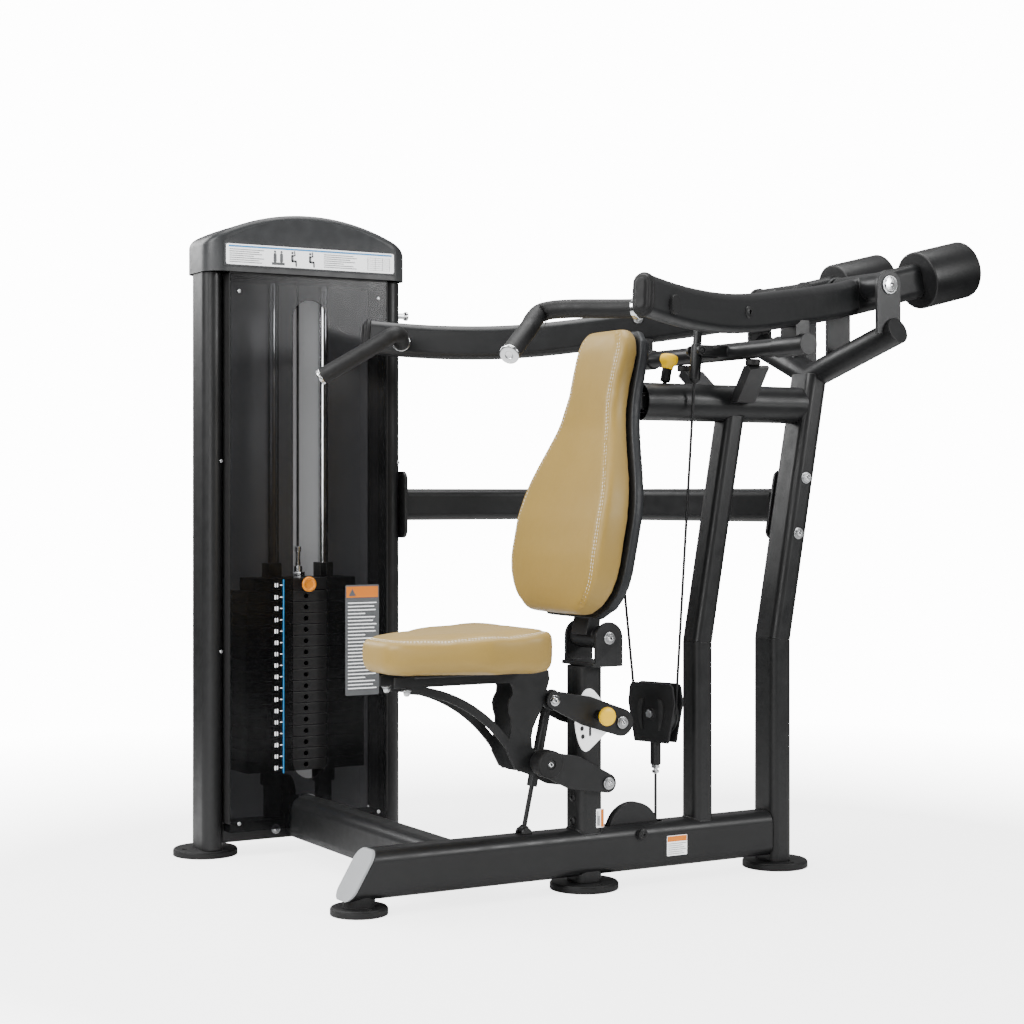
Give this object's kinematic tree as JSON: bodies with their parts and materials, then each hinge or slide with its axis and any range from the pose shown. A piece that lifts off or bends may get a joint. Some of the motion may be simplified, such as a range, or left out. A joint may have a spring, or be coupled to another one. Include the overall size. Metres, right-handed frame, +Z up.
{
  "type": "shoulder press machine",
  "caption": "Selectorised shoulder press gym machine with a weight tower, pivoting press arms, adjustable padded seat and tilting padded back rest.",
  "frame": {"origin": "on the floor, at the centre of the foot under the seat post, in the user's middle plane", "axes": "+Z up; the seated user faces -Y; the weight tower stands on the -X side"},
  "size_m": [1.4402, 1.5656, 1.481],
  "materials": {
    "frame_black": "satin powder coat",
    "plate_black": "satin paint",
    "shroud_smoke": "smoked sheet",
    "shroud_grey": "light grey sheet",
    "cap_plastic": "fine texture",
    "chrome": "polished",
    "rubber_black": "matte",
    "cable_black": "smooth jacket",
    "pulley_plastic": "moulded",
    "leather_tan": "fine grain",
    "knob_yellow": "glossy",
    "pin_orange": "glossy",
    "label_white": "printed sheet",
    "end_plate_grey": "light grey cap"
  },
  "bodies": {
    "root": {"feet": "rubber_black", "base_rail": "frame_black", "rail_end_plate": "end_plate_grey", "base_link_tube": "frame_black", "tower_frame": "frame_black", "shroud_front": "shroud_smoke", "shroud_rear": "shroud_grey", "tower_cap": "cap_plastic", "placard": "label_white", "guide_rods": "chrome", "weight_plates": "plate_black", "rubber_bumpers": "rubber_black", "seat_post": "frame_black", "mid_upright": "frame_black", "rear_upright": "frame_black", "upper_beam": "frame_black", "beam_brackets": "frame_black", "mid_crossbeam": "frame_black", "frame_bolts": "chrome", "arm_yoke": "frame_black", "pivot_plates": "frame_black", "back_clevis": "frame_black", "index_plate": "label_white", "seat_brackets": "frame_black", "cable_run": "cable_black", "gas_rod": "chrome", "block_cable": "cable_black", "stack_cable": "cable_black"},
    "press_arms": {"left_arm": "frame_black", "right_arm": "frame_black", "arm_hub": "frame_black", "cross_tube": "frame_black", "hand_grips": "rubber_black", "grip_caps": "chrome", "counterweights": "frame_black", "arm_end_caps": "rubber_black"},
    "cable_terminal": {"cable_terminal": "frame_black"},
    "pulley_block": {"block_housing": "pulley_plastic", "block_stem": "chrome", "arm_cable": "cable_black"},
    "block_pulley": {"block_pulley": "pulley_plastic"},
    "floor_pulley": {"floor_pulley": "pulley_plastic"},
    "corner_pulley": {"corner_pulley": "pulley_plastic"},
    "tower_pulley": {"tower_pulley": "pulley_plastic"},
    "top_pulley": {"top_pulley": "pulley_plastic"},
    "weight_carriage": {"head_plate": "plate_black", "selector_stem": "chrome"},
    "selector_pin": {"selector_pin": "pin_orange"},
    "seat_upper_link": {"seat_upper_link": "frame_black"},
    "seat_lower_link": {"seat_lower_link": "frame_black"},
    "seat_carrier": {"seat_carrier": "frame_black", "seat_pad": "leather_tan", "seat_rollers": "rubber_black"},
    "seat_knob": {"seat_knob": "knob_yellow"},
    "gas_cylinder": {"gas_cylinder": "frame_black"},
    "back_rest": {"back_pad": "leather_tan", "back_shell": "cap_plastic", "back_bracket": "frame_black"},
    "back_slide": {"back_slide": "frame_black"},
    "back_knob": {"back_knob": "knob_yellow"}
  },
  "joints": [
    {"name": "press_arms", "type": "hinge", "parent": "root", "child": "press_arms", "pos_m": [0, 0.635, 1.287], "axis": [-1, 0, 0], "range_deg": [0, 47]},
    {"name": "terminal_swivel", "type": "hinge", "parent": "press_arms", "child": "cable_terminal", "pos_m": [0.0525, 0.253, 1.141], "axis": [-1, 0, 0], "range_deg": [-47.5, 0.5]},
    {"name": "block_travel", "type": "slide", "parent": "root", "child": "pulley_block", "axis": [0, 0, 1], "range_m": [0, 0.1634], "deforming": ["arm_cable", "block_cable"]},
    {"name": "block_pulley_spin", "type": "hinge", "parent": "pulley_block", "child": "block_pulley", "pos_m": [0, 0.182, 0.36], "axis": [0.342, -0.9397, 0], "range_deg": [0, 178.8]},
    {"name": "floor_pulley_spin", "type": "hinge", "parent": "root", "child": "floor_pulley", "pos_m": [0, 0.12, 0.109], "axis": [1, 0, 0], "range_deg": [0, 151.5]},
    {"name": "corner_pulley_spin", "type": "hinge", "parent": "root", "child": "corner_pulley", "pos_m": [-0.024, -0.323, 0.079], "axis": [0, 0, 1], "range_deg": [0, 389.9]},
    {"name": "tower_pulley_spin", "type": "hinge", "parent": "root", "child": "tower_pulley", "pos_m": [-0.777, -0.347, 0.124], "axis": [0, -1, 0], "range_deg": [0, 208.4]},
    {"name": "top_pulley_spin", "type": "hinge", "parent": "root", "child": "top_pulley", "pos_m": [-0.791, -0.3345, 1.415], "axis": [0.374, -0.9274, 0], "range_deg": [0, 280.2]},
    {"name": "stack_lift", "type": "slide", "parent": "root", "child": "weight_carriage", "axis": [0, 0, 1], "range_m": [0, 0.1634], "deforming": ["stack_cable"]},
    {"name": "selector_pin_pull", "type": "slide", "parent": "weight_carriage", "child": "selector_pin", "axis": [1, 0, 0], "range_m": [0, 0.06]},
    {"name": "seat_height", "type": "hinge", "parent": "root", "child": "seat_upper_link", "pos_m": [0, 0.064, 0.351], "axis": [-1, 0, 0], "range_deg": [-22, 12]},
    {"name": "seat_lower_swing", "type": "hinge", "parent": "root", "child": "seat_lower_link", "pos_m": [0, 0.03, 0.225], "axis": [-1, 0, 0], "range_deg": [-22.1, 12.1]},
    {"name": "seat_levelling", "type": "hinge", "parent": "seat_upper_link", "child": "seat_carrier", "pos_m": [0, -0.101, 0.406], "axis": [-1, 0, 0], "range_deg": [-12.1, 22.1]},
    {"name": "seat_knob_pull", "type": "slide", "parent": "seat_upper_link", "child": "seat_knob", "axis": [1, 0, 0], "range_m": [0, 0.008], "stiffness_N_per_m": 900},
    {"name": "gas_spring_stroke", "type": "slide", "parent": "root", "child": "gas_cylinder", "axis": [0, 0.2138, 0.9769], "range_m": [-0.0615, 0.034]},
    {"name": "back_tilt", "type": "hinge", "parent": "root", "child": "back_rest", "pos_m": [0, 0.023, 0.531], "axis": [-1, 0, 0], "range_deg": [-3, 0]},
    {"name": "back_slide_travel", "type": "slide", "parent": "root", "child": "back_slide", "axis": [0, 1, 0], "range_m": [-0.0265, 0.0005]},
    {"name": "back_knob_pull", "type": "slide", "parent": "root", "child": "back_knob", "axis": [0, 0.2079, 0.9781], "range_m": [0, 0.01], "stiffness_N_per_m": 900}
  ],
  "couplings": [
    {"joint": "terminal_swivel", "follows": "press_arms", "ratio": -1},
    {"joint": "block_travel", "follows": "press_arms", "m_per_rad": 0.19859},
    {"joint": "block_pulley_spin", "follows": "press_arms", "ratio": 3.7827},
    {"joint": "floor_pulley_spin", "follows": "press_arms", "ratio": 3.2031},
    {"joint": "corner_pulley_spin", "follows": "press_arms", "ratio": 8.2746},
    {"joint": "tower_pulley_spin", "follows": "press_arms", "ratio": 4.4131},
    {"joint": "top_pulley_spin", "follows": "press_arms", "ratio": 5.9413},
    {"joint": "stack_lift", "follows": "press_arms", "m_per_rad": 0.19859},
    {"joint": "seat_lower_swing", "follows": "seat_height", "ratio": 1},
    {"joint": "seat_levelling", "follows": "seat_height", "ratio": -1},
    {"joint": "gas_spring_stroke", "follows": "seat_height", "m_per_rad": 0.1586},
    {"joint": "back_slide_travel", "follows": "back_tilt", "m_per_rad": 0.499}
  ]
}
